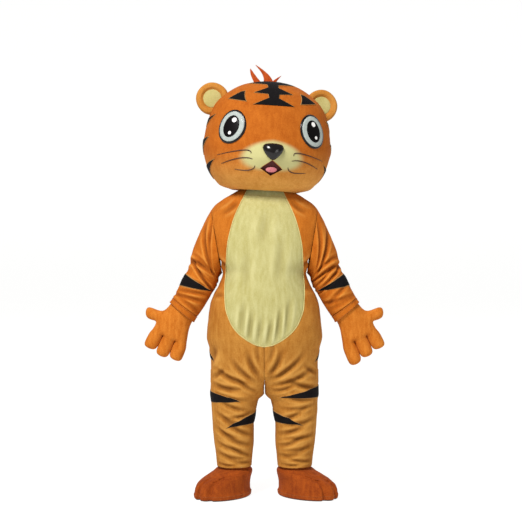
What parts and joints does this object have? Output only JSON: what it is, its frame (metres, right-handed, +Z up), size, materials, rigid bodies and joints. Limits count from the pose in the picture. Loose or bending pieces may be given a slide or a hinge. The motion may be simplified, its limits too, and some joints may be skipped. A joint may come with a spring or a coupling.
{
  "type": "tiger mascot costume",
  "caption": "Full-body tiger mascot costume in plush: hollow foam head, back-zipped suit with sleeves and legs, gloves and feet covers, standing as if worn.",
  "frame": {"origin": "middle of the neck opening, on the shoulders that hold the suit up", "axes": "+Z up along the wearer, the front faces -Y, the wearer's left arm is at +X"},
  "size_m": [1.078, 0.5299, 1.9353],
  "materials": {
    "orange_plush": "short orange plush pile",
    "cream_plush": "short cream plush pile",
    "foot_plush": "short red-brown plush pile",
    "sole_rubber": "matte",
    "black_plush": "short black plush pile",
    "tuft_plush": "orange-red plush",
    "mouth_cloth": "dark maroon knit",
    "tongue_cloth": "pink felt",
    "eye_white": "satin grey-white disc",
    "gloss_black": "glossy black",
    "zip_tape": "woven orange tape"
  },
  "bodies": {
    "root": {"front_left": "orange_plush", "front_right": "orange_plush", "back_left": "orange_plush", "back_right": "orange_plush", "sleeve_left": "orange_plush", "sleeve_right": "orange_plush", "cuff_left": "orange_plush", "cuff_right": "orange_plush", "glove_left": "orange_plush", "glove_right": "orange_plush", "head_face": "orange_plush", "head_back_left": "orange_plush", "head_back_right": "orange_plush", "ear_left": "orange_plush", "ear_right": "orange_plush", "belly_panel": "cream_plush", "neck_band": "cream_plush", "ear_inside_left": "cream_plush", "ear_inside_right": "cream_plush", "foot_left": "foot_plush", "foot_right": "foot_plush", "sole_left": "sole_rubber", "sole_right": "sole_rubber", "brow_mark_left": "black_plush", "brow_mark_right": "black_plush", "forehead_mark": "black_plush", "cheek_mark_left_1": "black_plush", "cheek_mark_left_2": "black_plush", "cheek_mark_left_3": "black_plush", "cheek_mark_right_1": "black_plush", "cheek_mark_right_2": "black_plush", "cheek_mark_right_3": "black_plush", "arm_stripe_left": "black_plush", "arm_stripe_right": "black_plush", "hip_stripe_left": "black_plush", "hip_stripe_right": "black_plush", "thigh_stripe_left": "black_plush", "thigh_stripe_right": "black_plush", "inner_leg_stripe_left": "black_plush", "inner_leg_stripe_right": "black_plush", "tuft_spike_1": "tuft_plush", "tuft_spike_2": "tuft_plush", "tuft_spike_3": "tuft_plush", "mouth_lining": "mouth_cloth", "tongue": "tongue_cloth", "eye_white_left": "eye_white", "eye_white_right": "eye_white", "eye_rim_left": "gloss_black", "eye_rim_right": "gloss_black", "eye_pupil_left": "gloss_black", "eye_pupil_right": "gloss_black", "nose": "gloss_black", "back_zip": "zip_tape"}
  },
  "joints": []
}
